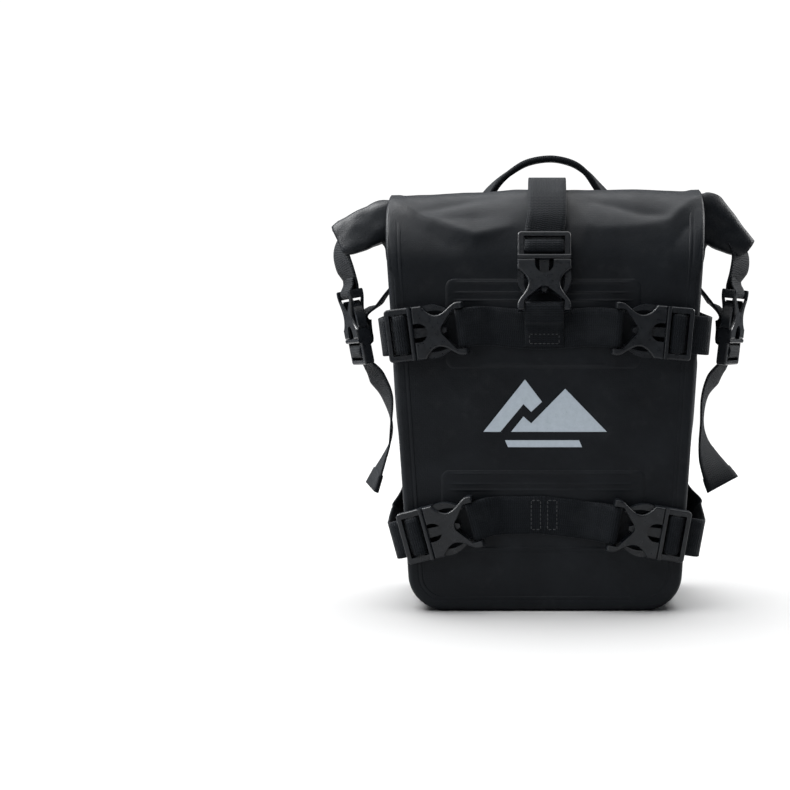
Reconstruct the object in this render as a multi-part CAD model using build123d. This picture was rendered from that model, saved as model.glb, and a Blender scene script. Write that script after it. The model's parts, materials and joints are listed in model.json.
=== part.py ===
"""Roll-top tail bag for a motorcycle, with seven side-release buckles.

Millimetres, +Z up, the front faces -Y, +X is the right-hand side seen from the front.
The origin is the centre of the base's underside.
"""

import os
from math import cos, radians, sin

from build123d import *

# ---- bag body ----------------------------------------------------------------------------------
BASE_HALF = 90.5  # half the width at the base
TOP_HALF = 106.5  # half the width under the roll
BODY_TOP = 272.0  # height of the front fabric where it meets the roll
HALF_DEPTH = 46.0
CORNER_RADIUS = 20.0  # lower corners, seen from the front
EDGE_RADIUS = 5.0  # front and back edges of the gusset
SKIN = 1.2  # coated fabric, two layers at the welds
PATCH = 0.9  # thickness of the welded front patches
LAP = 9.0  # width of the welded lap round both panels
FRONT_SHOULDER = 222.0  # where the front panel starts to curve back
BACK_SHOULDER = 212.0
ROLL_FRONT, ROLL_BACK = -6.0, 16.0  # the roll's faces, along Y
NECK_TOP = 242.0  # height of the neck that the roll closes
SLOPE = (TOP_HALF - BASE_HALF) / BODY_TOP  # side wall lean, per mm of height
BOARD = 3.0  # thickness of the base board

# ---- webbing -----------------------------------------------------------------------------------
WEB = 25.0  # width of the straps
WEB_THICK = 1.3
GAP = 0.4  # air between a strap and what it lies on
UPPER_Z, LOWER_Z = 184.0, 64.0  # front webbing heights
UPPER_BACK_Z, LOWER_BACK_Z = 186.0, 94.0  # belt heights on the back

# ---- side-release buckle, local frame: X from tongue to socket, Y across, Z outwards --------------
SOCKET_LENGTH = 33.0
FRAME_LENGTH = 18.0
HALF_WIDTH = 17.0
HALF_THICK = 5.0
FRAME_HALF_THICK = 3.4
SLOT_HALF = 13.2
CAVITY_HALF_THICK = 3.2
MOUTH_HALF = 14.6  # the mouth ring's inner half width
RING_LENGTH = 6.5
CAVITY_END = 27.0
WAIST_HALF = 10.2
BAR_AT = 30.4  # the socket's webbing bar
BAR_RADIUS = 1.8
ARM_PIVOT = (-1.0, 11.5)
ARM_ROOT_RADIUS = 1.7
ARM_HALF_THICK = 2.9
EDGE_FILLET = 1.1

# the webbing's route through the tongue's frame, as (along, outwards)
THREAD = [
    (-4.7, -3.2),
    (-4.7, 2.2),
    (-5.8, 3.5),
    (-8.6, 3.8),
    (-11.6, 3.5),
    (-12.9, 2.0),
    (-13.1, -1.4),
    (-15.0, -2.6),
    (-19.0, -2.9),
]


def half_width(z):
    """Half the body's width at a height."""
    return BASE_HALF + SLOPE * z


def block(x, y, z):
    """A box from its low and high limits on each axis."""
    size = [high - low for low, high in (x, y, z)]
    middle = [(high + low) / 2 for low, high in (x, y, z)]
    return Pos(*middle) * Box(*size)


def area(x, y):
    """A rectangle from its low and high limits."""
    return Pos((x[0] + x[1]) / 2, (y[0] + y[1]) / 2) * Rectangle(x[1] - x[0], y[1] - y[0])


def rounded_area(x, y, radius):
    face = area(x, y)
    return fillet(face.vertices(), radius)


def strap(stations, width=WEB, thick=WEB_THICK, piece=slice(None)):
    """Webbing through stations of (centre, width direction), with mitred turns; piece is a part of it."""
    points = [Vector(*p) for p, _ in stations]
    sections = []
    for n, (_, across) in enumerate(stations):
        before = points[n] - points[max(n - 1, 0)]
        after = points[min(n + 1, len(points) - 1)] - points[n]
        ends = [d.normalized() for d in (before, after) if d.length > 0]
        tangent = sum(ends, Vector(0, 0, 0)).normalized()
        across = Vector(*across)
        across = (across - tangent * across.dot(tangent)).normalized()
        turn = max(tangent.dot(ends[0]), 0.5)
        plane = Plane(points[n], x_dir=across, z_dir=tangent)
        sections.append(plane * Rectangle(width, thick / turn))
    return loft(sections[piece], ruled=True)


# ---- bag body ----------------------------------------------------------------------------------
def front_outline(inset):
    """The body seen from the front, moved in by inset, in X and Z."""
    low, high = inset, BODY_TOP + 10
    face = make_face(
        Polyline(
            (-half_width(low) + inset, low),
            (half_width(low) - inset, low),
            (half_width(high) - inset, high),
            (-half_width(high) + inset, high),
            close=True,
        )
    )
    lower = face.vertices().sort_by(Axis.Y)[:2]
    return fillet(lower, CORNER_RADIUS - inset)


def side_profile(inset):
    """The body seen from the side, moved in by inset, in Y and Z."""
    deep = HALF_DEPTH - inset
    front_dome = Pos(ROLL_FRONT, FRONT_SHOULDER) * Ellipse(
        ROLL_FRONT + deep, BODY_TOP - FRONT_SHOULDER - inset
    )
    back_dome = Pos(ROLL_BACK, BACK_SHOULDER) * Ellipse(
        deep - ROLL_BACK, NECK_TOP - BACK_SHOULDER - inset
    )
    face = area((-deep, deep), (inset, BACK_SHOULDER))
    face += area((-deep, ROLL_FRONT - inset), (inset, FRONT_SHOULDER))
    face += area((ROLL_FRONT - inset, ROLL_BACK), (inset, NECK_TOP - inset))
    face += front_dome & area((-deep, ROLL_FRONT - inset), (FRONT_SHOULDER, BODY_TOP))
    face += back_dome & area((ROLL_BACK, deep), (BACK_SHOULDER, NECK_TOP))
    return face


def body_solid(inset):
    """The bag as a full solid, moved in by inset."""
    front = Plane.XZ * extrude(front_outline(inset), amount=2 * HALF_DEPTH, both=True)
    side = Plane.YZ * extrude(side_profile(inset), amount=2 * TOP_HALF, both=True)
    return front & side


def rounded_body():
    solid = body_solid(0)
    front_edges = [e for e in solid.edges() if e.center().Y < -HALF_DEPTH + 0.01]
    back_edges = [e for e in solid.edges() if e.center().Y > HALF_DEPTH - 0.01]
    shoulders = [
        e
        for e in front_edges + back_edges
        if e.bounding_box().size.Z < 0.01 and e.center().Z > CORNER_RADIUS
    ]
    rim = [e for e in front_edges + back_edges if e not in shoulders]
    return fillet(rim, EDGE_RADIUS)


def make_shell():
    """Front panel, back panel, gusset and neck, all cut from one shell."""
    shell = rounded_body() - body_solid(SKIN)
    window = front_outline(LAP) & area((-200, 200), (0, BODY_TOP - 2))
    far = 3 * HALF_DEPTH
    front_cut = Pos(0, ROLL_FRONT - SKIN, 0) * (Plane.XZ * extrude(window, amount=far))
    back_cut = Pos(0, ROLL_BACK, 0) * (Plane.XZ * extrude(window, amount=-far))
    neck_cut = block((-85, 85), (ROLL_FRONT - SKIN, ROLL_BACK), (NECK_TOP - 6, BODY_TOP + 5))
    return {
        "front_panel": shell & front_cut,
        "back_panel": shell & back_cut,
        "roll_neck": shell & neck_cut,
        "side_gusset": shell - front_cut - back_cut - neck_cut,
    }


def make_board():
    """The plastic board that keeps the base flat."""
    low = SKIN + 0.2
    wide = BASE_HALF - CORNER_RADIUS
    deep = HALF_DEPTH - SKIN - EDGE_RADIUS
    return block((-wide, wide), (-deep, deep), (low, low + BOARD))


def make_patches():
    """Welded reinforcements under the front webbing."""
    upper = rounded_area((-64.5, 62.0), (159.0, 217.0), 6)
    lower = rounded_area((-68.0, 65.5), (39.0, 93.0), 6)
    lift = Pos(0, -HALF_DEPTH, 0)
    return {
        "upper_front_patch": lift * (Plane.XZ * extrude(upper, amount=PATCH)),
        "lower_front_patch": lift * (Plane.XZ * extrude(lower, amount=PATCH)),
    }


def make_emblem():
    """A plain reflective print: two peaks over a bar."""
    thick = 0.25
    left_peak = [(-40, 118), (-13, 152), (-2, 137.5), (-9, 131), (-14, 136), (-29, 118)]
    right_peak = [(-22, 118), (-14, 128), (-9, 123.5), (13, 146), (40, 118)]
    bar = [(-24, 108), (24, 108), (22, 112.5), (-26, 112.5)]
    faces = [make_face(Polyline(*p, close=True)) for p in (left_peak, right_peak, bar)]
    lift = Pos(0, -HALF_DEPTH, 0)
    return lift * (Plane.XZ * extrude(Sketch() + faces, amount=thick))


# ---- roll --------------------------------------------------------------------------------------
def make_roll():
    """The rolled mouth with its two ends bent down, and the stiffener inside it."""
    outline = make_face(
        Polyline(
            (-146, 252.7),
            (-134.5, 232.2),
            (-117, 236.5),
            (-104, NECK_TOP + 0.3),
            (104, NECK_TOP + 0.3),
            (117, 233.5),
            (134, 232.0),
            (144, 241.7),
            (116, 273.5),
            (60, 275.8),
            (-40, 275.8),
            (-108, 271),
            close=True,
        )
    )
    low, high = ROLL_FRONT + 0.2, ROLL_BACK - 2.0
    solid = Pos(0, high, 0) * (Plane.XZ * extrude(outline, amount=high - low))
    rim = solid.edges().filter_by(lambda e: e.bounding_box().size.Y < 0.01)
    solid = fillet(rim, 3.0)
    inside = Pos(0, -SKIN, 0) * body_solid(0)
    strip = block((-95, 95), (3.0, 4.6), (248, 268))
    return {"roll_top": solid - inside - strip, "roll_stiffener": strip}


# ---- side-release buckle -------------------------------------------------------------------------
def mirrored(edges):
    return [mirror(e, about=Plane.XZ) for e in edges]


def make_socket():
    """The buckle's socket: two waisted plates, a mouth ring and a webbing bar."""
    flare = Spline(
        (RING_LENGTH, HALF_WIDTH),
        (10.0, 12.6),
        (15.0, WAIST_HALF),
        (21.0, 12.0),
        (27.5, 16.4),
        (SOCKET_LENGTH, 16.6),
    )
    edge = [Line((0, HALF_WIDTH), (RING_LENGTH, HALF_WIDTH)), flare]
    ends = [
        Line((0, -HALF_WIDTH), (0, HALF_WIDTH)),
        Line((SOCKET_LENGTH, -16.6), (SOCKET_LENGTH, 16.6)),
    ]
    outline = make_face(edge + mirrored(edge) + ends)
    solid = extrude(outline, amount=HALF_THICK, both=True)
    faces = solid.faces().sort_by(Axis.Z)
    solid = fillet(faces[0].edges() + faces[-1].edges(), EDGE_FILLET)

    inner = CAVITY_HALF_THICK
    solid -= block((-1, CAVITY_END), (-MOUTH_HALF, MOUTH_HALF), (-inner, inner))
    solid -= block((RING_LENGTH, CAVITY_END), (-20, 20), (-inner, inner))
    far_notch = make_hull(
        (Pos(22.5, 0) * Circle(5)).edges() + area((26.5, 36), (-13, 13)).edges()
    )
    mouth_notch = Pos(3, 0) * Circle(6) + area((-1, 3), (-6, 6))
    solid -= extrude(far_notch, amount=10, both=True)
    solid -= extrude(mouth_notch, amount=10, both=True)
    bar = Pos(BAR_AT, 0, 0) * (Rot(90, 0, 0) * Cylinder(BAR_RADIUS, 27))
    return solid + bar


def make_tongue():
    """The buckle's tongue without its two arms: webbing frame, shoulder and centre guide."""
    frame = rounded_area((-FRAME_LENGTH, 2), (-HALF_WIDTH, HALF_WIDTH), 2.4)
    frame &= area((-FRAME_LENGTH, 0), (-HALF_WIDTH, HALF_WIDTH))
    solid = extrude(frame, amount=FRAME_HALF_THICK, both=True)
    faces = solid.faces().sort_by(Axis.Z)
    outer = (faces[0].edges() + faces[-1].edges()).filter_by(
        lambda e: e.center().X < -0.01
    )
    solid = fillet(outer, EDGE_FILLET)
    shoulder = block((-3, -0.1), (-HALF_WIDTH, HALF_WIDTH), (-HALF_THICK, HALF_THICK))
    solid += fillet(shoulder.edges().filter_by(Axis.Y), EDGE_FILLET)
    for low, high in ((-6.4, -3.0), (-15.0, -10.8)):
        solid -= block((low, high), (-SLOT_HALF, SLOT_HALF), (-6, 6))
    under = ((-20, -15.0, -1.3), (-10.8, -6.4, -1.4))
    for low, high, top in under:
        solid -= block((low, high), (-SLOT_HALF, SLOT_HALF), (-6, top))
    solid -= block((-10.8, -6.4), (-SLOT_HALF, SLOT_HALF), (2.6, 6))
    guide = make_face(
        Polyline((-0.5, 3.2), (18, 2.3), (21, 1.2), (21, -1.2), (18, -2.3), (-0.5, -3.2), close=True)
    )
    solid += extrude(guide, amount=2.6, both=True)
    along, across = ARM_PIVOT
    for side in (-1, 1):
        seat_radius = ARM_ROOT_RADIUS + 0.15
        seat = Pos(along, side * across) * Circle(seat_radius)
        seat += area(
            (along, 1), (side * across - seat_radius, side * across + seat_radius)
        )
        solid -= extrude(seat, amount=CAVITY_HALF_THICK, both=True)
    return solid


def make_arm(side):
    """A latch arm: a root that flexes, a hooked shoulder and a bowed thumb pad."""
    along, across = ARM_PIVOT
    bow = Spline((6.9, 16.5), (11.0, 17.2), (16.0, 16.4), (21.0, 13.9), (25.6, 10.6))
    inside = Spline((25.0, 9.8), (20.0, 12.0), (14.0, 13.2), (7.5, 12.3))
    outline = make_face(
        [
            Line((along, across + ARM_ROOT_RADIUS), (6.9, 14.2)),
            Line((6.9, 14.2), (6.9, 16.5)),
            bow,
            Line((25.6, 10.6), (25.0, 9.8)),
            inside,
            Line((7.5, 12.3), (along, across - ARM_ROOT_RADIUS)),
            Line((along, across - ARM_ROOT_RADIUS), (along, across + ARM_ROOT_RADIUS)),
        ]
    )
    outline += Pos(along, across) * Circle(ARM_ROOT_RADIUS)
    solid = extrude(outline, amount=ARM_HALF_THICK, both=True)
    return solid if side > 0 else mirror(solid, about=Plane.XZ)


class Buckle:
    """A buckle's place: the middle of its mouth, its insertion direction and its outward face."""

    def __init__(self, mouth, along, outward):
        along, outward = Vector(*along).normalized(), Vector(*outward)
        outward = (outward - along * outward.dot(along)).normalized()
        self.plane = Plane(Vector(*mouth), x_dir=along, z_dir=outward)

    def at(self, u, w, v=0.0):
        """A point u along, v across and w outwards."""
        return tuple(self.plane.from_local_coords(Vector(u, v, w)))

    @property
    def across(self):
        return tuple(self.plane.y_dir)

    def stations(self, route):
        """Strap stations for (along, outwards) pairs in this buckle's frame."""
        return [(self.at(u, w), self.across) for u, w in route]

    def collar(self):
        """Webbing sewn round the socket's bar."""
        ring = Cylinder(BAR_RADIUS + 0.15 + WEB_THICK, WEB) - Cylinder(BAR_RADIUS + 0.15, WEB)
        return self.plane * (Pos(BAR_AT, 0, 0) * (Rot(90, 0, 0) * ring))


def tilted(side, droop, yaw):
    """Insertion direction of a front buckle: towards the middle, drooping at its outer end."""
    return (-side * cos(radians(droop)) * cos(radians(yaw)), -sin(radians(yaw)), sin(radians(droop)))


def front_buckle(side, x, z, droop, yaw=4.0, y=-52.5):
    outward = (side * sin(radians(yaw)), -cos(radians(yaw)), 0)
    return Buckle((x, y, z), tilted(side, droop, yaw), outward)


TOP_PITCH = 12.0
SIDE_Y = 6.0
SIDE_TURN = 22.0  # how far a side buckle's face turns to the front
BUCKLES = {
    "top": Buckle(
        (-0.5, -53.5, 229.0),
        (0, -sin(radians(TOP_PITCH)), -cos(radians(TOP_PITCH))),
        (0, -1, 0),
    ),
    "upper_left": front_buckle(-1, -83.5, 182.0, 7.0),
    "upper_right": front_buckle(1, 76.5, 182.7, 5.0),
    "lower_left": front_buckle(-1, -75.0, 53.0, 15.0),
    "lower_right": front_buckle(1, 74.5, 53.0, 10.0),
    "side_left": Buckle(
        (-126.5, SIDE_Y, 176.2),
        (-sin(radians(10.6)), 0, cos(radians(10.6))),
        (-cos(radians(SIDE_TURN)), -sin(radians(SIDE_TURN)), 0),
    ),
    "side_right": Buckle(
        (125.5, SIDE_Y, 176.2),
        (sin(radians(6.0)), 0, cos(radians(6.0))),
        (cos(radians(SIDE_TURN)), -sin(radians(SIDE_TURN)), 0),
    ),
}
# how far out each front belt turns round to the side, along its buckle's axis
BELT_CORNER = {"upper_left": 23.5, "upper_right": 31.0, "lower_left": 26.0, "lower_right": 29.0}
BELT_SPLIT = -29.0  # where a belt's riding end gives over to the belt, outwards from the buckle


def make_buckles():
    parts = {}
    socket, tongue = make_socket(), make_tongue()
    arms = {"upper_arm": make_arm(1), "lower_arm": make_arm(-1)}
    for name, buckle in BUCKLES.items():
        parts[f"{name}_socket"] = buckle.plane * socket
        parts[f"{name}_tongue"] = buckle.plane * tongue
        for arm, solid in arms.items():
            parts[f"{name}_{arm}"] = buckle.plane * solid
    return parts


# ---- straps ------------------------------------------------------------------------------------
def front_webbing(left, right, z):
    """Webbing sewn across the front between two sockets, with a loop round each bar."""
    y = -HALF_DEPTH - PATCH - 2 * GAP - WEB_THICK / 2
    up = (0, 0, 1)
    first, last = BUCKLES[left], BUCKLES[right]
    inner_left = first.at(BAR_AT + 16, 0)[0]
    inner_right = last.at(BAR_AT + 16, 0)[0]
    stations = [
        (first.at(BAR_AT - 0.5, -2.6), first.across),
        (first.at(BAR_AT + 5, -2.8), first.across),
        ((inner_left, y, z), up),
        ((inner_right, y, z), up),
        (last.at(BAR_AT + 5, -2.8), tuple(-c for c in last.across)),
        (last.at(BAR_AT - 0.5, -2.6), tuple(-c for c in last.across)),
    ]
    return strap(stations) + first.collar() + last.collar()


def make_front_webbing():
    top = BUCKLES["top"]
    x = (1, 0, 0)
    y = -HALF_DEPTH - PATCH - 3 * GAP - 1.5 * WEB_THICK
    anchor = strap(
        [
            (top.at(BAR_AT - 0.5, -2.6), x),
            (top.at(BAR_AT + 4.5, -4.2), x),
            ((-0.5, y - 2.5, 193.0), x),
            ((-0.5, y - 0.6, 188.0), x),
            ((-0.5, y - 0.6, 173.0), x),
        ]
    )
    return {
        "upper_front_webbing": front_webbing("upper_left", "upper_right", UPPER_Z),
        "lower_front_webbing": front_webbing("lower_left", "lower_right", LOWER_Z),
        "top_socket_webbing": anchor + top.collar(),
    }


def belt_half(name, back_z):
    """Stations of half a belt, from its tongue round the side to the back, and where it is split."""
    buckle, corner = BUCKLES[name], BELT_CORNER[name]
    route = THREAD + [(-corner + 3.5, -3.8), (-corner + 1, -6.4), (-corner, -11.0)]
    split = len(route) + 1
    route += [(-corner, w) for w in (BELT_SPLIT, BELT_SPLIT - GAP, BELT_SPLIT - 6.0)]
    front = buckle.stations(route)
    sign = 1 if front[-1][0][0] > 0 else -1
    if sign > 0:
        front = [(point, tuple(-c for c in across)) for point, across in front]
    start_z = front[-1][0][2]
    wall = (sign * SLOPE, 0, 1)
    lift = GAP + WEB_THICK / 2
    side = half_width(back_z) + lift
    rest = [((sign * (side + 0.9), 14.0, start_z + 0.56 * (back_z - start_z)), wall)]
    rest.append(((sign * (side + 0.1), 35.0, back_z), wall))
    turn = EDGE_RADIUS + lift + 0.25
    for angle in (0, 30, 60, 90):
        x = half_width(back_z) - EDGE_RADIUS + turn * cos(radians(angle))
        y = HALF_DEPTH - EDGE_RADIUS + turn * sin(radians(angle))
        rest.append(((sign * x, y, back_z), wall))
    rest.append(((0, HALF_DEPTH + lift + 0.25, back_z), (0, 0, 1)))
    return front + rest, split


def make_belts():
    """Each belt passes round the back; its two loose ends ride on the tongues."""
    parts = {}
    for level, back_z in (("upper", UPPER_BACK_Z), ("lower", LOWER_BACK_Z)):
        halves = []
        for side in ("left", "right"):
            route, split = belt_half(f"{level}_{side}", back_z)
            parts[f"{level}_{side}_belt_end"] = strap(route, piece=slice(0, split))
            halves.append(strap(route, piece=slice(split, None)))
        parts[f"{level}_belt"] = halves[0] + halves[1]
    return parts


def make_keepers():
    """Two upright webbings sewn to the back, which the belts pass behind."""
    low_y = HALF_DEPTH + 0.1 + WEB_THICK / 2
    high_y = HALF_DEPTH + 2 * GAP + 1.5 * WEB_THICK + 0.3
    profile = [(low_y, 62.0), (low_y, 72.0)]
    for z in (LOWER_BACK_Z, UPPER_BACK_Z):
        half = WEB / 2 + 1.2
        profile += [(low_y, z - half - 4), (high_y, z - half)]
        profile += [(high_y, z + half), (low_y, z + half + 4)]
    solids = []
    for x in (-55.0, 55.0):
        solids.append(strap([((x, y, z), (1, 0, 0)) for y, z in profile]))
    return Compound(children=solids)


def on_back(angle, lift=WEB_THICK / 2 + 0.5):
    """A point (Y, Z) just above the rounded top of the back, by its angle above the horizontal."""
    radius = HALF_DEPTH - ROLL_BACK + lift
    return ROLL_BACK + radius * cos(radians(angle)), BACK_SHOULDER + radius * sin(radians(angle))


def make_top_strap():
    """Over the roll and down the back, and the loose front length that rides on the tongue."""
    top, x = BUCKLES["top"], (1, 0, 0)
    back = [
        (3.2, 282.6),
        (11.0, 281.2),
        (17.5, 275.0),
        (21.0, 263.0),
        (26.5, 249.0),
    ]
    back += [on_back(angle) for angle in (50, 35, 20, 5)]
    back.append((on_back(0)[0], 202.0))
    front = top.stations(THREAD)
    over = ((-43.0, 258.0), (-33.5, 269.5), (-19.0, 279.0), (-8.0, 282.6), (2.4, 282.8))
    front += [((-0.5, y, z), x) for y, z in over]
    return {
        "top_strap": strap([((-0.5, y, z), x) for y, z in back]),
        "top_strap_end": strap(front),
    }


SIDE_ROUTES = {
    # (distance from the centre along X, Y, Z, turn of the width from Y towards X)
    "left": {
        "roll": [(139.5, 229.5), (136.0, 219.5)],
        "tail": [
            (114.5, 6, 149, 22),
            (108.0, 6, 137, 8),
            (105.2, 6, 119, 5),
            (106.7, 6, 105, 2),
            (110.2, 6, 95, 3),
            (114.4, 6, 85, 5),
            (119.7, 6, 71.5, 8),
        ],
    },
    "right": {
        "roll": [(137.0, 228.5), (136.0, 218.0)],
        "tail": [
            (115.5, 6, 147, 20),
            (110.9, 6, 135, 9),
            (109.5, 6, 119, 7),
            (110.2, 5.5, 106, 18),
            (112.9, 4.5, 95, 34),
            (117.0, 3, 84, 52),
            (121.5, 1.5, 74.5, 80),
        ],
    },
}


def make_side_straps():
    """Roll-end webbing, side anchors, and the webbing that threads a tongue and hangs down."""
    parts = {}
    y = SIDE_Y
    for name, route in SIDE_ROUTES.items():
        buckle = BUCKLES[f"side_{name}"]
        sign = -1 if name == "left" else 1
        across, along_y = buckle.across, (0, -sign, 0)
        roll = [((sign * x, y, z), along_y) for x, z in route["roll"]]
        roll += [(buckle.at(BAR_AT + 5, -2.4), across), (buckle.at(BAR_AT + 1.0, -3.0), across)]
        parts[f"{name}_roll_webbing"] = strap(roll) + buckle.collar()
        wall = half_width(212) + WEB_THICK / 2 + 0.1
        anchor = [((sign * (wall + SLOPE * 16), y, 226.0), along_y)]
        anchor += [((sign * wall, y, 212.0), along_y), ((sign * 113.5, y, 199.0), along_y)]
        anchor += [(buckle.at(u, w), across) for u, w in ((14.0, -8.3), (5.0, -6.6), (-3.6, -6.2))]
        parts[f"{name}_side_anchor"] = strap(anchor)
        parts[f"{name}_adjuster_webbing"] = strap(buckle.stations(THREAD[:-1]))
        tail = [(buckle.at(-15.8, -2.75), across), (buckle.at(-19.5, -3.4), across)]
        for x, ty, z, turn in route["tail"]:
            tail.append(((sign * x, ty, z), (-sin(radians(turn)), -sign * cos(radians(turn)), 0)))
        parts[f"{name}_tail"] = strap(tail)
    return parts


HINGE_Y = 37.6  # depth at which the carry loop stands up from its feet


def make_handle():
    """A folded webbing loop standing on two feet sewn to the back."""
    loop_y = HINGE_Y
    arch = [
        (46.0, loop_y, 240.0, 0),
        (46.0, loop_y, 250.0, 15),
        (44.5, loop_y - 0.5, 262.0, 40),
        (41.0, loop_y - 1.5, 272.5, 60),
        (34.5, loop_y - 2.5, 281.5, 75),
        (27.5, loop_y - 3.2, 289.5, 85),
        (18.0, loop_y - 3.8, 295.5, 90),
        (3.8, loop_y - 4.0, 298.3, 90),
        (-12.0, loop_y - 3.8, 295.8, 90),
        (-24.0, loop_y - 3.2, 289.0, 85),
        (-33.0, loop_y - 2.5, 281.5, 75),
        (-40.0, loop_y - 1.5, 272.5, 60),
        (-44.5, loop_y - 0.5, 262.0, 40),
        (-46.0, loop_y, 250.0, 15),
        (-46.0, loop_y, 240.0, 0),
    ]
    top = len(arch) // 2
    stations = []
    for n, (x, y, z, turn) in enumerate(arch):
        across = (cos(radians(turn)), sin(radians(turn)), 0)
        if n > top:
            across = (-across[0], across[1], 0)
        stations.append(((x, y, z), across))
    halves = [strap(stations[: top + 1], width=13.0, thick=4.0)]
    halves.append(strap(stations[: top - 1 : -1], width=13.0, thick=4.0))
    feet = []
    for x in (-46.0, 46.0):
        route = [(on_back(0)[0], BACK_SHOULDER - 5)] + [on_back(angle) for angle in (0, 15, 30, 45, 57)]
        feet.append(strap([((x, y, z), (1, 0, 0)) for y, z in route], width=20.0))
    return {"handle": halves[0] + halves[1], "handle_feet": Compound(children=feet)}


def main():
    os.makedirs("parts", exist_ok=True)
    parts = {
        "front_emblem": make_emblem(),
        "back_keepers": make_keepers(),
        "base_board": make_board(),
    }
    for group in (
        make_shell,
        make_patches,
        make_roll,
        make_buckles,
        make_front_webbing,
        make_belts,
        make_top_strap,
        make_side_straps,
        make_handle,
    ):
        parts.update(group())
    for name, shape in parts.items():
        export_step(shape, f"parts/{name}.step")
    print(len(parts), "nodes")


main()
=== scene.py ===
"""The looks of the tail bag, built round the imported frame.

Shapes are worked out in millimetres, in the frame's own axes: +Z up, the front faces -Y.
make_mesh turns them into metres.
"""

import json
import math

import bmesh
import bpy
import numpy as np
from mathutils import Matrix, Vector, noise


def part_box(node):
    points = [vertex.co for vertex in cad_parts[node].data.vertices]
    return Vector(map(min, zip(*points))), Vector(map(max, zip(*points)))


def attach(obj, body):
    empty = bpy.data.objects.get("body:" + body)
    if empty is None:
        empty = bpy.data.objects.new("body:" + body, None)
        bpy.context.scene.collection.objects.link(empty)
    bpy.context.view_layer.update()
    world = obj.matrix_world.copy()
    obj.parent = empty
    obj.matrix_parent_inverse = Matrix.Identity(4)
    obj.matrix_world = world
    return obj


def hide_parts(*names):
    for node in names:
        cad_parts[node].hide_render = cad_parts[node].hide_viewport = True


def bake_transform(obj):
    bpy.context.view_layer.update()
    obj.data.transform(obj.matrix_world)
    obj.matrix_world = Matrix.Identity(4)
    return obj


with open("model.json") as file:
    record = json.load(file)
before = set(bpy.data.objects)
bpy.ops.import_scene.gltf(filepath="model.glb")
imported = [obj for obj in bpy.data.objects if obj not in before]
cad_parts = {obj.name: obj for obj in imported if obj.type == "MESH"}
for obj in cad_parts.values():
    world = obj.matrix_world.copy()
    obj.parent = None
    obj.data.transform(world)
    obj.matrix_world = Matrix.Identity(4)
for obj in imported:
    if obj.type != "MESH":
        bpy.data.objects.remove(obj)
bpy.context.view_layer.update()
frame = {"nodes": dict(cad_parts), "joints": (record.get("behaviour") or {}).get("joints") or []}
MM = 0.001
BAG = "bag"

# ---- the bag's shape ----
gusset_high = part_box("side_gusset")[1]
HALF_DEPTH = gusset_high.y / MM
BODY_TOP = gusset_high.z / MM
SLACK = 1.6  # the fabric sits this much inside the CAD's outline
TOP_HALF = gusset_high.x / MM - SLACK
BASE_HALF = 90.5 - SLACK - 0.6  # the CAD's base is 90.5 to each side
SLOPE = (TOP_HALF - BASE_HALF) / BODY_TOP
CORNER = 24.0  # lower corners, seen from the front
EDGE = 3.6  # roundness between the front and the sides
LAP = 9.0  # width of the welded lap
TUCK = 4.0  # how far in from the outline the panels end, under the lap
SKIN = 1.1  # thickness of the fabric
FRONT_SHOULDER, BACK_SHOULDER = 222.0, 212.0  # heights where the panels start to curve in
NECK = 242.0  # height where the back fabric meets the roll
WIDEST = 262.0  # above this height the panels keep their width
DOME_Y = 3.0  # where the front fabric reaches the top of the roll
BACK_Y = 16.0  # where the back fabric ends
ROLL_BACK = 14.6  # back of the roll
ROLL_MIDDLE_Y = 4.4
ROLL_ROUND = 13.0  # roundness of the front fabric over the roll
UNDER_ROLL, UNDER_ROUND = 252.0, 8.0  # where the front fabric turns in behind the roll, and how roundly
LAP_TOP = 1.93  # where the lap ends over the dome, as front_surface's t
WEB, WEB_THICK = 25.0, 1.4


def half_width(z):
    """Half the bag's width at a height."""
    return BASE_HALF + SLOPE * z


def panel_half(z):
    """Half a panel's width at a height: it ends under the lap, round the lower corners too."""
    corner = CORNER - TUCK
    drop = max(corner - (z - TUCK), 0)
    return half_width(z) - TUCK - (corner - math.sqrt(max(corner**2 - drop**2, 0)))


def smooth(low, high, value):
    """0 below low, 1 above high, and a soft step between."""
    t = min(max((value - low) / (high - low), 0), 1)
    return t * t * (3 - 2 * t)


def bump(value, centre, width):
    """A bell of height 1."""
    return math.exp(-(((value - centre) / width) ** 2))


def wander(x, y, z, size, seed):
    """Smooth noise between about -1 and 1."""
    return noise.noise(Vector((x / size + seed, y / size - seed, z / size + 2 * seed)))


# ---- mesh tools ----
def show(thing):
    """Puts an object into the scene."""
    bpy.context.scene.collection.objects.link(thing)
    return thing


def make_mesh(name, points, faces, material, uvs=None):
    """A smooth-shaded object from points in millimetres; uvs is one (across, along) pair a point."""
    mesh = bpy.data.meshes.new(name)
    mesh.from_pydata([tuple(c * MM for c in p) for p in points], [], faces)
    mesh.polygons.foreach_set("use_smooth", [True] * len(mesh.polygons))
    if uvs is not None:
        layer = mesh.uv_layers.new(name="weave")
        for loop in mesh.loops:
            layer.data[loop.index].uv = [c * MM for c in uvs[loop.vertex_index]]
    mesh.materials.append(material)
    return show(bpy.data.objects.new(name, mesh))


def grid_faces(rows, columns, wrap=False):
    """Quads over a grid of points listed row by row; wrap joins the last column to the first."""
    faces = []
    for r in range(rows - 1):
        for c in range(columns if wrap else columns - 1):
            d = (c + 1) % columns
            faces.append((r * columns + c, r * columns + d, (r + 1) * columns + d, (r + 1) * columns + c))
    return faces


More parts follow.
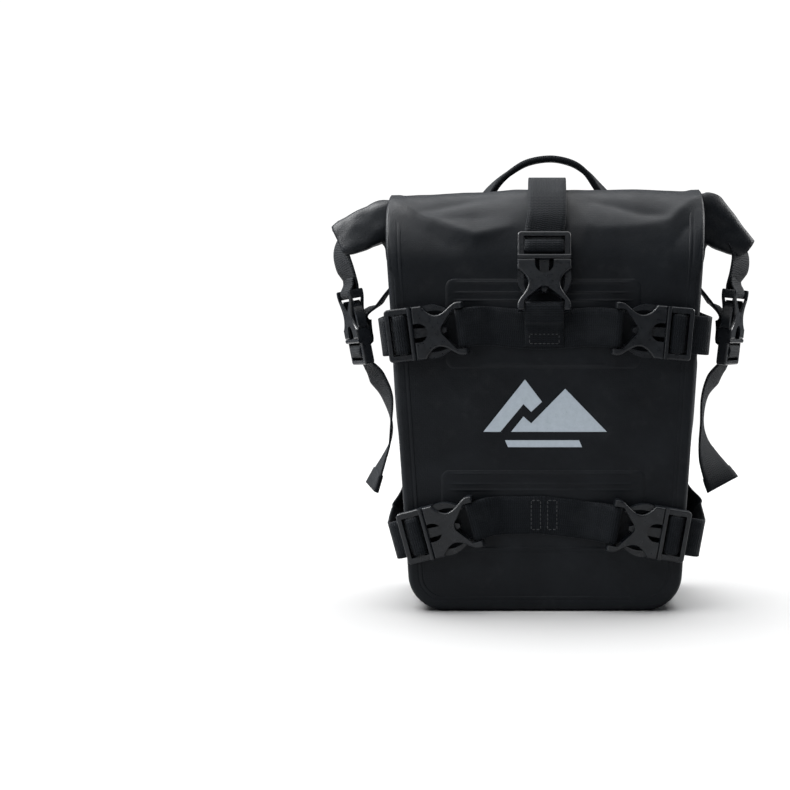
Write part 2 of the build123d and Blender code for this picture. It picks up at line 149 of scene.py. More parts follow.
def sheet_mesh(name, rows, material, thick=SKIN, flip=False, subdivide=0):
    """A sheet with thickness from a grid of points; its shown side is the one the normals point to."""
    columns = len(rows[0])
    points = [p for row in rows for p in row]
    faces = grid_faces(len(rows), columns)
    if flip:
        faces = [f[::-1] for f in faces]
    thing = make_mesh(name, points, faces, material)
    if subdivide:
        modifier = thing.modifiers.new("smooth", "SUBSURF")
        modifier.levels = modifier.render_levels = subdivide
    modifier = thing.modifiers.new("skin", "SOLIDIFY")
    modifier.thickness = thick * MM
    modifier.offset = -1
    return settle(thing)


def face_outwards(thing):
    """Turns a closed mesh's faces outwards."""
    work = bmesh.new()
    work.from_mesh(thing.data)
    bmesh.ops.recalc_face_normals(work, faces=work.faces)
    work.to_mesh(thing.data)
    work.free()
    return thing


def settle(thing):
    """Applies an object's modifiers to its mesh."""
    graph = bpy.context.evaluated_depsgraph_get()
    mesh = bpy.data.meshes.new_from_object(thing.evaluated_get(graph))
    thing.modifiers.clear()
    thing.data = mesh
    return thing


def join(name, things):
    """One object from several; their materials stay."""
    bpy.ops.object.select_all(action="DESELECT")
    for thing in things:
        thing.select_set(True)
    bpy.context.view_layer.objects.active = things[0]
    bpy.ops.object.join()
    joined = bpy.context.view_layer.objects.active
    joined.name = name
    return joined


# ---- materials ----
class Nodes:
    """A short way to build a Principled material."""

    def __init__(self, name):
        self.material = bpy.data.materials.new(name)
        self.material.use_nodes = True
        self.tree = self.material.node_tree
        self.shader = self.tree.nodes["Principled BSDF"]

    def add(self, kind, inputs=None, **settings):
        node = self.tree.nodes.new(kind)
        for key, value in settings.items():
            setattr(node, key, value)
        for key, value in (inputs or {}).items():
            if isinstance(value, bpy.types.NodeSocket):
                self.tree.links.new(value, node.inputs[key])
            else:
                node.inputs[key].default_value = value
        return node

    def link(self, value, socket):
        self.tree.links.new(value, self.shader.inputs[socket])

    def math(self, operation, a, b=0.0):
        return self.add("ShaderNodeMath", {0: a, 1: b}, operation=operation).outputs[0]

    def noise(self, vector, scale, detail, roughness=0.5):
        inputs = {"Vector": vector, "Scale": scale, "Detail": detail, "Roughness": roughness}
        return self.add("ShaderNodeTexNoise", inputs).outputs["Fac"]

    def ramp(self, factor, low, high, first, last):
        """A straight mix of two colours while factor goes from low to high."""
        return self.mix(self.level(factor, low, high, 0.0, 1.0), (*first, 1), last)

    def mix(self, share, first, last):
        """A share of a second colour over a first one, which may be a socket."""
        inputs = {"Factor": share, 6: first, 7: (*last, 1)}
        return self.add("ShaderNodeMix", inputs, data_type="RGBA").outputs[2]

    def set(self, socket, value):
        self.shader.inputs[socket].default_value = value

    def level(self, factor, low, high, first, last):
        """A value from first to last while factor goes from low to high."""
        inputs = {"Value": factor, "From Min": low, "From Max": high, "To Min": first, "To Max": last}
        return self.add("ShaderNodeMapRange", inputs).outputs[0]

    def bump(self, heights):
        """Stacks (height, strength, distance in metres) into one normal."""
        normal = None
        for height, strength, distance in heights:
            inputs = {"Height": height, "Strength": strength, "Distance": distance}
            if normal is not None:
                inputs["Normal"] = normal
            normal = self.add("ShaderNodeBump", inputs).outputs[0]
        self.link(normal, "Normal")

    def place(self):
        """The place on the object, which the textures are laid out by."""
        return self.add("ShaderNodeTexCoord").outputs["Object"]


def coated_fabric():
    """Black PVC-coated polyester: fine leathery grain over a faint scrim, rubbed and dusty in places."""
    m = Nodes("coated_fabric")
    place = m.place()
    cells = m.add("ShaderNodeTexVoronoi", {"Vector": place, "Scale": 1500.0}, feature="SMOOTH_F1")
    grain = cells.outputs["Distance"]
    pores = m.noise(place, 2600.0, 2.0)
    waves = []
    for direction in ("X", "Z"):
        wave = m.add("ShaderNodeTexWave", {"Vector": place, "Scale": 260.0, "Distortion": 0.6},
                     bands_direction=direction)
        waves.append(wave.outputs["Fac"])
    scrim = m.math("ADD", waves[0], waves[1])
    cloud = m.noise(place, 28.0, 4.0, 0.6)
    smudge = m.noise(place, 75.0, 6.0, 0.65)
    soft = m.noise(place, 55.0, 3.0)
    colour = m.ramp(cloud, 0.3, 0.7, (0.0040, 0.0050, 0.0066), (0.0074, 0.0090, 0.0113))
    dust = m.level(smudge, 0.58, 0.80, 0.0, 0.10)
    m.link(m.mix(dust, colour, (0.06, 0.062, 0.064)), "Base Color")
    m.link(m.level(smudge, 0.3, 0.75, 0.40, 0.56), "Roughness")
    m.set("Specular IOR Level", 0.12)
    m.bump([(soft, 0.35, 0.0016), (scrim, 0.10, 0.00012), (grain, 0.42, 0.00022), (pores, 0.22, 0.0001)])
    return m.material


def webbing():
    """Black polypropylene webbing: ribs across it, with a fine chevron and firmer edges; its grooves are
    painted darker and its raised threads lighter, as painted shade.
    """
    m = Nodes("webbing")
    weave = m.add("ShaderNodeUVMap", uv_map="weave").outputs[0]
    parts = m.add("ShaderNodeSeparateXYZ", {0: weave})
    across, along = parts.outputs[0], parts.outputs[1]
    rib_pitch, cord_pitch = 0.00135, 0.0016
    zigzag = m.math("PINGPONG", across, cord_pitch)
    phase = m.math("ADD", along, m.math("MULTIPLY", zigzag, 0.3))
    ribs = m.math("SINE", m.math("MULTIPLY", phase, 2 * math.pi / rib_pitch))
    cords = m.math("SINE", m.math("MULTIPLY", across, 2 * math.pi / cord_pitch))
    thread = m.math("MULTIPLY", ribs, m.math("ADD", m.math("ABSOLUTE", cords), 0.30))
    thread = m.math("ADD", thread, m.math("MULTIPLY", cords, 0.42))
    place = m.place()
    fuzz = m.noise(place, 3500.0, 2.0, 0.7)
    wear = m.noise(place, 90.0, 4.0, 0.6)
    height = m.level(thread, -1.3, 1.3, 0.0, 1.0)
    # painted shade: the colour follows the weave's height, dark in its low places and lighter on its raised
    # threads
    painted_groove_shade = m.ramp(height, 0.1, 0.9, (0.0012, 0.0018, 0.0026), (0.0064, 0.0082, 0.0108))
    m.link(m.mix(m.level(wear, 0.5, 0.8, 0.0, 0.22), painted_groove_shade, (0.024, 0.026, 0.029)), "Base Color")
    m.link(m.level(fuzz, 0.3, 0.7, 0.58, 0.8), "Roughness")
    m.set("Sheen Weight", 0.025)
    m.set("Specular IOR Level", 0.09)
    m.set("Sheen Roughness", 0.45)
    m.bump([(wear, 0.15, 0.0006), (height, 0.75, 0.00032), (fuzz, 0.3, 0.0001)])
    return m.material


def buckle_nylon():
    """Moulded black nylon: fine spark texture, a little polished where it is handled."""
    m = Nodes("buckle_nylon")
    place = m.place()
    spark = m.noise(place, 4200.0, 2.0, 0.6)
    flow = m.noise(place, 160.0, 3.0)
    rub = m.noise(place, 420.0, 5.0, 0.7)
    m.link(m.ramp(flow, 0.3, 0.7, (0.0036, 0.0046, 0.0062), (0.0074, 0.0090, 0.0114)), "Base Color")
    m.link(m.level(rub, 0.35, 0.7, 0.26, 0.44), "Roughness")
    m.set("Specular IOR Level", 0.30)
    m.bump([(flow, 0.12, 0.0005), (spark, 0.28, 0.00008)])
    return m.material


def reflective_print():
    """Screen-printed reflective ink: silver grey, with tiny glass beads and worn pinholes."""
    m = Nodes("reflective_print")
    place = m.place()
    beads = m.add("ShaderNodeTexVoronoi", {"Vector": place, "Scale": 5200.0}).outputs["Distance"]
    patchy = m.noise(place, 260.0, 5.0, 0.7)
    worn = m.noise(place, 900.0, 4.0, 0.75)
    tone = m.ramp(patchy, 0.3, 0.7, (0.32, 0.37, 0.42), (0.39, 0.445, 0.50))
    m.link(m.mix(m.level(worn, 0.66, 0.74, 0.0, 0.8), tone, (0.10, 0.11, 0.12)), "Base Color")
    m.link(m.level(patchy, 0.3, 0.7, 0.38, 0.5), "Roughness")
    m.bump([(beads, 0.35, 0.00008)])
    return m.material


def thread_material():
    """Bonded nylon sewing thread."""
    m = Nodes("thread")
    twist = m.noise(m.place(), 5000.0, 2.0)
    m.link(m.ramp(twist, 0.3, 0.7, (0.006, 0.007, 0.009), (0.013, 0.015, 0.018)), "Base Color")
    m.set("Roughness", 0.5)
    m.bump([(twist, 0.4, 0.0001)])
    return m.material


def floor_material():
    """A pale matt floor, a little cloudy."""
    m = Nodes("floor")
    cloud = m.noise(m.place(), 3.0, 2.0)
    m.link(m.ramp(cloud, 0.3, 0.7, (0.87, 0.87, 0.87), (0.90, 0.90, 0.90)), "Base Color")
    m.set("Roughness", 0.8)
    return m.material


FABRIC, WEBBING, NYLON = coated_fabric(), webbing(), buckle_nylon()
PRINT, STITCH = reflective_print(), thread_material()

# ---- the camera ----
VIEW_DISTANCE = 1.05  # from the bag's middle, as if the picture was taken from just over a metre
VIEW_HEIGHT = 0.228
VIEW_TILT = math.radians(4.9)  # downwards
VIEW_SHIFT = -0.19  # the bag stands right of the picture's middle
LENS = 71.0


def make_camera():
    data = bpy.data.cameras.new("camera")
    data.lens = LENS
    data.shift_x = VIEW_SHIFT
    camera = show(bpy.data.objects.new("camera", data))
    camera.location = (0, -VIEW_DISTANCE, VIEW_HEIGHT)
    camera.rotation_euler = (math.pi / 2 - VIEW_TILT, 0, 0)
    bpy.context.scene.camera = camera


make_camera()


# ---- front fabric ----
# the roll's top over the body, a little arched: (x of each place, z of each place)
ROLL_TOP = ((-108, -85, -55, -20, 60, 90), (268.8, 272.2, 274.8, 276.2, 276.0, 274.6))


def front_surface(x, t):
    """(y, z, normal y, normal z) of the front fabric before its folds.

    t goes 0..1 up the front, 1..2 over the dome, 2..3 over the roll, 3..4 down its back and 4..5
    under it."""
    top = float(np.interp(x, *ROLL_TOP))
    if t <= 1:
        return -HALF_DEPTH, EDGE + t * (FRONT_SHOULDER - EDGE), -1.0, 0.0
    wide, high = HALF_DEPTH + DOME_Y, top - FRONT_SHOULDER
    if t <= 2:
        a = (t - 1) * math.pi / 2
        ny, nz = -math.cos(a) / wide, math.sin(a) / high
        size = math.hypot(ny, nz)
        return DOME_Y - wide * math.cos(a), FRONT_SHOULDER + high * math.sin(a), ny / size, nz / size
    back = ROLL_BACK - DOME_Y
    if t <= 3:
        a = (t - 2) * math.pi / 2
        z = top - ROLL_ROUND + ROLL_ROUND * math.cos(a)
        return DOME_Y + back * math.sin(a), z, math.sin(a), math.cos(a)
    if t <= 4:
        return ROLL_BACK, top - ROLL_ROUND + (t - 3) * (UNDER_ROLL - top + ROLL_ROUND), 1.0, 0.0
    a = (t - 4) * math.pi / 2
    y = ROLL_BACK - UNDER_ROUND + UNDER_ROUND * math.cos(a)
    return y, UNDER_ROLL - UNDER_ROUND * math.sin(a), math.cos(a), -math.sin(a)


# folds in the front fabric, most of them under the roll: (points (x, z), height, width)
FOLDS = [
    ([(-106, 270), (-95, 264.5), (-75, 255), (-56, 248), (-46, 245), (-36, 247), (-24, 250)], 3.4, 5.5),
    ([(-80, 260.5), (-62, 266), (-47, 269.5), (-30, 270.5)], -2.6, 4.5),
    ([(-66, 256), (-50, 257), (-34, 258)], -2.4, 9.0),
    ([(-92, 256), (-76, 247), (-62, 238)], -1.6, 6.0),
    ([(107, 271), (95, 266.5), (81, 256)], 3.0, 4.5),
    ([(80, 257.5), (62, 260), (46, 265), (30, 268)], -2.8, 4.5),
    ([(81, 255), (60, 250.5), (36, 249), (18, 250)], 2.0, 7.0),
    ([(100, 256), (90, 249), (84, 240)], -1.5, 6.0),
    ([(20, 264), (27, 252), (24, 240)], 0.9, 5.0),
    ([(-101, 236), (-96, 214), (-94, 190)], 0.5, 5.0),
    ([(102, 238), (97, 216), (95, 196)], 0.6, 5.0),
]
CREST = 1.2  # roundness of a fold's crest


def path_distance(x, z, points):
    """Distance to a run of points, and how far along it the nearest place is, from 0 to 1."""
    best, place = 1e9, 0.0
    for n in range(len(points) - 1):
        (ax, az), (bx, bz) = points[n], points[n + 1]
        dx, dz = bx - ax, bz - az
        t = min(max(((x - ax) * dx + (z - az) * dz) / (dx * dx + dz * dz), 0), 1)
        distance = math.hypot(x - ax - t * dx, z - az - t * dz)
        if distance < best:
            best, place = distance, (n + t) / (len(points) - 1)
    return best, place


def front_relief(x, z, t):
    """How far the front fabric stands out along its normal: swells, folds, and the strap's dent."""
    relief = 0.28 * wander(x, 0, z, 46, 3) * (1 - bump(x, 0, 44) * bump(z, 131, 26))
    if t < 1:
        relief *= smooth(6, 30, z)
    calm = smooth(214, 232, z) if t < 2.5 else 0.5
    relief += calm * (0.7 * wander(x, 0, z, 38, 7) + 0.2 * wander(x, 0, z, 14, 9))
    if 0.8 < t < 2.4:
        for points, height, width in FOLDS:
            distance, place = path_distance(x, z, points)
            taper = math.sin(math.pi * (0.15 + 0.7 * place)) ** 0.7
            relief += height * taper * math.exp((CREST - math.hypot(distance, CREST)) / width)
    if t > 1.9:
        relief -= 0.5 * math.exp(-((x / 17.0) ** 4))
    return relief


def steps_of(*counts):
    """Values of t: the first count's places from 0 to 1, the second's from 1 to 2, and so on."""
    steps = [0.0]
    for n, count in enumerate(counts):
        steps += list(np.linspace(n, n + 1, count)[1:])
    return steps


def make_front():
    """The front panel, which runs on over the dome and the roll, and turns in behind it."""
    rows = []
    for t in steps_of(76, 40, 12, 6, 7):
        middle_z = front_surface(0, t)[1]
        row = []
        for u in np.linspace(-1, 1, 101):
            x = u * (half_width(min(middle_z, WIDEST)) - 1.0)
            y, z, ny, nz = front_surface(x, t)
            if t < 1:
                x = u * panel_half(z)
            out = front_relief(x, z, t)
            if t > LAP_TOP:
                edge = half_width(min(z, WIDEST)) - abs(x)
                hem = smooth(LAP + 0.5, LAP - 0.5, edge)
                out += 0.8 * hem * smooth(LAP_TOP, LAP_TOP + 0.06, t)
            row.append((x, y + ny * out, z + nz * out))
        rows.append(row)
    piece = sheet_mesh("front_fabric", rows, FABRIC, subdivide=1)
    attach(piece, BAG)
    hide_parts("front_panel")


# ---- back fabric ----
def back_surface(t):
    """(y, z, normal y, normal z). t: 0..1 up the back, 1..2 over its rounded top."""
    if t <= 1:
        return HALF_DEPTH, EDGE + t * (BACK_SHOULDER - EDGE), 1.0, 0.0
    a = (t - 1) * math.pi / 2
    wide, high = HALF_DEPTH - BACK_Y, NECK - BACK_SHOULDER
    return BACK_Y + wide * math.cos(a), BACK_SHOULDER + high * math.sin(a), math.cos(a), math.sin(a)


def make_back():
    """The back panel, which curves in under the roll."""
    rows = []
    for t in steps_of(60, 18):
        y, z, ny, nz = back_surface(t)
        half = panel_half(z) if t < 1 else half_width(z) - 1.0
        row = []
        for u in np.linspace(-1, 1, 71):
            x = u * half
            out = -0.25 + 0.22 * wander(x, 50, z, 40, 5)
            out -= 0.9 * smooth(222, 238, z) * (0.5 + 0.5 * wander(x, 50, z, 16, 6))
            row.append((x, y + ny * out, z + nz * out))
        rows.append(row)
    piece = sheet_mesh("back_fabric", rows, FABRIC, flip=True, subdivide=1)
    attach(piece, BAG)
    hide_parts("back_panel", "roll_neck")


# ---- gusset ----
# the lap from its raised edge towards the bag's edge: (depth in from the outline, lift)
LAP_STEPS = ((LAP + 1.0, -0.5), (LAP + 0.75, 0.3), (LAP + 0.4, 0.4), (LAP, 0.42), (8.0, 0.4), (7.4, 0.1),
             (6.8, 0.36), (6.2, 0.42))
LAP_LIFT = 0.4  # of the lap where it rounds the bag's edge


def gusset_rows():
    """Stations along the U: (side, height, top share, turn).

    The side is -1 or 1, or between them along the base. The top share is 0 up to the shoulders, and
    grows to 1 where the side runs up under the roll. The turn is the angle round a lower corner,
    "base" along the base, and None up the sides."""
    turn = math.atan(SLOPE)
    low = CORNER * (1 - math.sin(turn))
    left = [(-1, FRONT_SHOULDER, share, None) for share in np.linspace(1, 0, 26)[:-1]]
    left += [(-1, z, 0.0, None) for z in np.linspace(BACK_SHOULDER, low, 64)]
    left += [(-1, 0, 0.0, a) for a in np.linspace(turn, math.pi / 2, 14)[1:]]
    base = [(x, 0, 0.0, "base") for x in np.linspace(-1, 1, 40)[1:-1]]
    right = [(1, *station[1:]) for station in left[::-1]]
    return left + base + right


def gusset_frame(side, z, share, turn):
    """Outline point, outward direction, and the front and back surfaces there."""
    centre = half_width(CORNER) - CORNER
    if turn == "base":
        return (side * centre, 0.0), (0.0, -1.0), (-HALF_DEPTH, 0, -1, 0), (HALF_DEPTH, 0, 1, 0)
    if turn is not None:
        out = (side * math.cos(turn), -math.sin(turn))
        spot = (side * centre + out[0] * CORNER, CORNER + out[1] * CORNER)
        return spot, out, (-HALF_DEPTH, spot[1], -1, 0), (HALF_DEPTH, spot[1], 1, 0)
    out = (side * 1.0, 0.0)
    if share == 0:
        return (side * half_width(z), z), out, (-HALF_DEPTH, z, -1, 0), (HALF_DEPTH, z, 1, 0)
    front = front_surface(side * 100, 1 + (LAP_TOP - 1) * share)
    back = back_surface(1 + 0.8 * share)
    return (side * half_width(min(front[1], WIDEST)), z), out, front, back


def lap_points(surface, spot, out, share, edge, relief):
    """The lap on the front or the back, then the rounded edge of the bag; relief is the share of
    the front's folds that the lap follows."""
    y, height, ny, nz = surface

    def moved_in(depth):
        """X and Z of a place at a depth in from the outline."""
        return spot[0] - out[0] * depth, height if share > 0 else spot[1] - out[1] * depth

    points = []
    for depth, lift in (*LAP_STEPS, (edge, LAP_LIFT)):
        x, z = moved_in(depth)
        lift = lift * (1 - 0.55 * share)
        if relief:
            lift += relief * front_relief(x, z, 1 + share)
        points.append((x, y + ny * lift, z + nz * lift))
    for a in np.linspace(0, math.pi / 2, 7)[1:-1]:
        x, z = moved_in(edge - edge * math.sin(a))
        drop = edge - edge * math.cos(a)
        points.append((x, y - ny * (drop - LAP_LIFT * math.cos(a)), z - nz * drop))
    return points


def tent(y, z, front_y, back_y):
    """How far the side is drawn out towards the roll's end, most of all in the roll's middle."""
    reach = min((y - front_y) / (ROLL_MIDDLE_Y - front_y), (back_y - y) / (back_y - ROLL_MIDDLE_Y))
    blunt, sharper = (1, 2.2) if y > ROLL_MIDDLE_Y else (1.6, 5.0)
    peak = max(reach, 0) ** (blunt + sharper * smooth(226, 245, z))
    return (5.0 * smooth(206, 237, z) + 9.5 * smooth(236, 247, z)) * peak


def side_points(spot, out, front, back, edge, turn):
    """The side or the base at one station, from the front's edge to the back's."""
    front_y, front_z = front[0] - front[2] * edge, front[1] - front[3] * edge
    back_y, back_z = back[0] - back[2] * edge, back[1] - back[3] * edge
    points = []
    for k in np.linspace(0, 1, 23):
        x, y, z = spot[0], front_y + (back_y - front_y) * k, front_z + (back_z - front_z) * k
        swell = math.sin(math.pi * k) ** 0.8
        if turn == "base":
            lift = -0.35 * swell * abs(wander(x, y, 0, 30, 13))
        else:
            loose = smooth(104, 124, z) * smooth(174, 160, z)
            lift = 0.15 + 3.4 * loose * swell
            lift += 0.5 * smooth(20, 40, z) * swell * wander(x, y, z, 30, 11)
            lift += tent(y, z, front_y, back_y)
        points.append((x + out[0] * lift, y, z + out[1] * lift))
    return points


def make_gusset():
    """The U round both sides and the base, with a lap on both panels."""
    rows = []
    for side, z, share, turn in gusset_rows():
        spot, out, front, back = gusset_frame(side, z, share, turn)
        edge = EDGE - 2.2 * share
        relief = 0.5 if share > 0.02 else 0.2
        row = lap_points(front, spot, out, share, edge, relief)
        row += side_points(spot, out, front, back, edge, turn)
        row += lap_points(back, spot, out, share, edge, 0)[::-1]
        rows.append(row)
    piece = sheet_mesh("side_fabric", rows, FABRIC, subdivide=1)
    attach(piece, BAG)
    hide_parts("side_gusset")


# ---- roll ----
# sections from the left tip to the right tip: (top x, top z), (bottom x, bottom z), half thickness
ROLL = [
    ((-145.2, 251.6), (-134.0, 232.6), 6.6),
    ((-139.0, 255.6), (-129.5, 233.4), 7.4),
    ((-128.0, 261.4), (-121.0, 235.4), 8.4),
    ((-116.0, 267.0), (-112.5, 238.4), 9.0),
    ((-107.0, 268.8), (-106.0, 241.6), 9.0),
    ((-98.0, 269.4), (-98.0, 243.2), 8.9),
    ((-50.0, 273.8), (-50.0, 243.4), 8.9),
    ((0.0, 274.8), (0.0, 243.4), 8.9),
    ((50.0, 274.6), (50.0, 243.4), 8.9),
    ((99.0, 273.2), (99.0, 243.0), 8.9),
    ((109.0, 274.6), (107.5, 240.4), 9.0),
    ((116.6, 272.6), (113.5, 236.6), 8.9),
    ((121.9, 265.9), (118.5, 234.6), 8.5),
    ((127.3, 259.1), (122.8, 233.4), 8.0),
    ((134.6, 250.0), (128.6, 232.4), 7.2),
    ((141.0, 242.4), (133.4, 232.0), 6.3),
]
TURNS = 2.7
SQUARENESS = 3.2  # of a section: 2 is an ellipse


def curve_through(values, count):
    """Catmull-Rom values at even places along a run of tuples; their first three numbers are points."""
    values = np.array(values, float)
    runs = np.concatenate([[0], np.cumsum(np.linalg.norm(np.diff(values[:, :3], axis=0), axis=1))])
    padded = np.vstack([2 * values[0] - values[1], values, 2 * values[-1] - values[-2]])
    places = np.interp(np.linspace(0, runs[-1], count), runs, np.arange(len(values)))
    out = []
    for place in places:
        n = min(int(place), len(values) - 2)
        t = place - n
        a, b, c, d = padded[n], padded[n + 1], padded[n + 2], padded[n + 3]
        out.append(0.5 * (2 * b + (c - a) * t + (2 * a - 5 * b + 4 * c - d) * t**2
                          + (3 * b - a - 3 * c + d) * t**3))
    return np.array(out)


def make_roll():
    """The rolled mouth: one long spiral of fabric whose open ends show its layers."""
    stations = curve_through([(*top, *bottom, half) for top, bottom, half in ROLL], 110)
    turns = np.linspace(-0.06, TURNS, 150)
    rows = []
    for n, (tx, tz, bx, bz, half) in enumerate(stations):
        middle = np.array(((tx + bx) / 2, (tz + bz) / 2))
        up = np.array(((tx - bx) / 2, (tz - bz) / 2))
        end = min(n, len(stations) - 1 - n) / 10.0
        lean = 5.2 * smooth(103, 120, -middle[0]) + 1.0 * smooth(108, 124, middle[0])
        wing = smooth(100, 112, abs(middle[0]))
        side = 1 if middle[0] > 0 else -1
        outer, inner = [], []
        for turn in turns:
            shrink = 1 - 0.13 * smooth(0.78, 1.02, turn) - 0.235 * max(turn - 1, 0)
            a = 2 * math.pi * turn
            c, s = math.cos(a), math.sin(a)
            square = (abs(c) ** SQUARENESS + abs(s) ** SQUARENESS) ** (-1 / SQUARENESS)
            spill = max(1 - end, 0) ** 2 * (1.6 * wander(turn * 20, 0, middle[0], 9, 2) - 0.48 * turn)
            for radius, layer in ((shrink, outer), (shrink - 0.10, inner)):
                y = ROLL_MIDDLE_Y - (s * half + c * lean) * square * radius
                x, z = middle - up * c * square * radius
                crumple = wing * (2.0 * wander(x, y, z, 15, 4) + 0.6 * wander(x, y, z, 7, 8))
                crumple *= 1 if turn < 1.05 else 0.3
                layer.append((x + side * spill, y - s * crumple, z - c * crumple * 0.8))
        rows.append(outer + inner[::-1])
    columns = len(rows[0])
    points = [p for row in rows for p in row]
    faces = grid_faces(len(rows), columns, wrap=True)
    half_count = len(turns)
    for base in (0, (len(rows) - 1) * columns):
        for c in range(half_count - 1):
            faces.append((base + c, base + c + 1, base + columns - 2 - c, base + columns - 1 - c))
    piece = face_outwards(make_mesh("rolled_mouth", points, faces, FABRIC))
    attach(piece, BAG)
    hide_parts("roll_top")


# ---- front patches ----
EDGE_STEPS = (0, 0.15, 0.5, 1.0, 1.6)  # close rows of points near a patch's edge
PATCH_SCALE = 60.0  # what a patch's width counts as in those steps
PATCH_CORNER = 6.0
SHORT_WELD = 2.6  # height of the short weld line over a patch's foot


def make_patch(node, welds):
    """A welded patch with raised weld lines; welds are distances down from its top."""
    low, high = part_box(node)
    x0, x1, z0, z1 = (v / MM for v in (low.x, high.x, low.z, high.z))
    thick = (high.y - low.y) / MM
    last = EDGE_STEPS[-1]
    zs = [z0 + d for d in EDGE_STEPS[:-1]] + list(np.arange(z0 + last, z1 - last, 0.5))
    zs += [z1 - d for d in EDGE_STEPS[::-1]]
    insets = [d / PATCH_SCALE for d in EDGE_STEPS]
    us = insets[:-1] + list(np.linspace(insets[-1], 1 - insets[-1], 74)) + [1 - d for d in insets[-2::-1]]
    rows = []
    for z in zs:
        rise = min(z - z0, z1 - z)
        drop = PATCH_CORNER - min(rise, PATCH_CORNER)
        cut = PATCH_CORNER - math.sqrt(max(PATCH_CORNER**2 - drop**2, 0))
        row = []
        for u in us:
            x = x0 + cut + (x1 - x0 - 2 * cut) * u
            edge = min(rise, min(u, 1 - u) * PATCH_SCALE)
            lift = 0.5 * thick * smooth(-0.1, 0.9, edge) - 0.2 * smooth(0.2, 0, edge)
            for weld in welds:
                taper = smooth(0, 7, min(x - x0, x1 - x) - 4)
                lift += 0.55 * taper * bump(z, z1 - weld, 0.6)
            span = smooth(42, 36, abs(x + 1))
            lift += 0.5 * span * bump(z, z0 + SHORT_WELD, 0.6)
            lift += front_relief(x, z, 0.5)
            row.append((x, -HALF_DEPTH - lift, z))
        rows.append(row)
    piece = sheet_mesh(node + "_fabric", rows, FABRIC, thick=0.8)
    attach(piece, BAG)
    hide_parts(node)


make_front()
make_back()
make_gusset()
make_roll()
make_patch("upper_front_patch", (2.4, 9.0, 14.0))
make_patch("lower_front_patch", (2.4, 9.0, 13.0))


# ---- buckles ----
BUCKLES = ("top", "upper_left", "upper_right", "lower_left", "lower_right", "side_left", "side_right")
JOINTS = {joint["name"]: joint for joint in frame["joints"]}


class Buckle:
    """A buckle's place, read from its joints: its mouth, and its directions along, across and out."""

    def __init__(self, name):
        upper, lower = JOINTS[f"{name}_upper_squeeze"], JOINTS[f"{name}_lower_squeeze"]
        self.along = -Vector(JOINTS[f"{name}_release"]["axis"])
        self.outward = -Vector(upper["axis"])
        self.across = self.outward.cross(self.along)
        middle = (Vector(upper["pos_m"]) + Vector(lower["pos_m"])) / 2
        self.mouth = middle / MM + self.along

    def at(self, u, w):
        """The place u along and w outwards from the mouth."""
        return tuple(self.mouth + self.along * u + self.outward * w)


PLACES = {name: Buckle(name) for name in BUCKLES}


def dress(node_name, material):
    """Gives a CAD node one material."""
    node = frame["nodes"][node_name]
    node.data.materials.clear()
    node.data.materials.append(material)


for name in BUCKLES:
    for part in ("socket", "tongue", "upper_arm", "lower_arm"):
        dress(f"{name}_{part}", NYLON)
dress("front_emblem", PRINT)
dress("base_board", NYLON)
dress("roll_stiffener", NYLON)


# ---- webbing ----
STRAP_STEP = 1.6
SELVEDGE = 0.35


def strap_ring(width):
    """A strap's section, as (across, share of the thickness), with rounded selvedges."""
    flat = width / 2 - SELVEDGE
    ring = [(v * flat, 0.5) for v in np.linspace(-1, 1, 9)] + [(width / 2, 0.0)]
    return ring + [(v * flat, -0.5) for v in np.linspace(1, -1, 9)] + [(-width / 2, 0.0)]


def strap(name, stations, width=WEB, thick=WEB_THICK):
    """Webbing along stations of (point, width direction)."""
    places = [(*point, *Vector(across).normalized()) for point, across in stations]
    gaps = np.linalg.norm(np.diff(np.array(places)[:, :3], axis=0), axis=1)
    count = max(int(sum(gaps) / STRAP_STEP), 8)
    path = curve_through(places, count)
    ring = strap_ring(width)
    points, uvs, run = [], [], 0.0
    spots = [Vector(p[:3]) for p in path]
    for n, values in enumerate(path):
        tangent = (spots[min(n + 1, count - 1)] - spots[max(n - 1, 0)]).normalized()
        across = Vector(values[3:])
        across = (across - tangent * across.dot(tangent)).normalized()
        face = across.cross(tangent)
        if n:
            run += (spots[n] - spots[n - 1]).length
        for v, side in ring:
            points.append(tuple(spots[n] + across * v + face * side * thick))
            uvs.append((v, run))
    size = len(ring)
    faces = grid_faces(count, size, wrap=True)
    faces += [tuple(range(size)), tuple(range((count - 1) * size, count * size))]
    return face_outwards(make_mesh(name, points, faces, WEBBING, uvs))


PITCH = 2.7  # from one stitch to the next
# a stitch's rings: (place along it in pitches, radius)
STITCH_RINGS = ((-0.38, 0.12), (-0.25, 0.3), (0, 0.36), (0.25, 0.3), (0.38, 0.12))


def stitched(name, cloth, rows):
    """Joins rows of stitches, each (start, end, outward), to a piece of webbing."""
    points, faces = [], []
    for start, end, outward in rows:
        start, end, outward = Vector(start), Vector(end), Vector(outward).normalized()
        way = (end - start).normalized()
        side = way.cross(outward)
        count = max(round((end - start).length / PITCH), 1)
        for k in range(count):
            middle = start + (end - start) * ((k + 0.5) / count)
            base = len(points)
            for u, size in STITCH_RINGS:
                rise = outward * (0.16 - 1.9 * u * u)
                for a in (0, 60, 120, 180, 240, 300):
                    a = math.radians(a)
                    spoke = side * math.cos(a) * size + outward * math.sin(a) * size
                    points.append(tuple(middle + way * u * PITCH + rise + spoke))
            ends = [tuple(range(6)), tuple(range(24, 30))]
            faces += [tuple(base + i for i in f) for f in grid_faces(5, 6, wrap=True) + ends]
    thread = face_outwards(make_mesh("thread", points, faces, STITCH))
    return join(name, [cloth, thread])


def tack(middle, across, down, outward, width=19.0, depth=6.0):
    """A box of stitches with its long sides across the webbing."""
    middle, outward = Vector(middle), Vector(outward)
    a, d = Vector(across).normalized() * width / 2, Vector(down).normalized() * depth / 2
    return [(middle - a - d, middle + a - d, outward), (middle + a + d, middle - a + d, outward),
            (middle - a - d, middle - a + d, outward), (middle + a + d, middle + a - d, outward)]


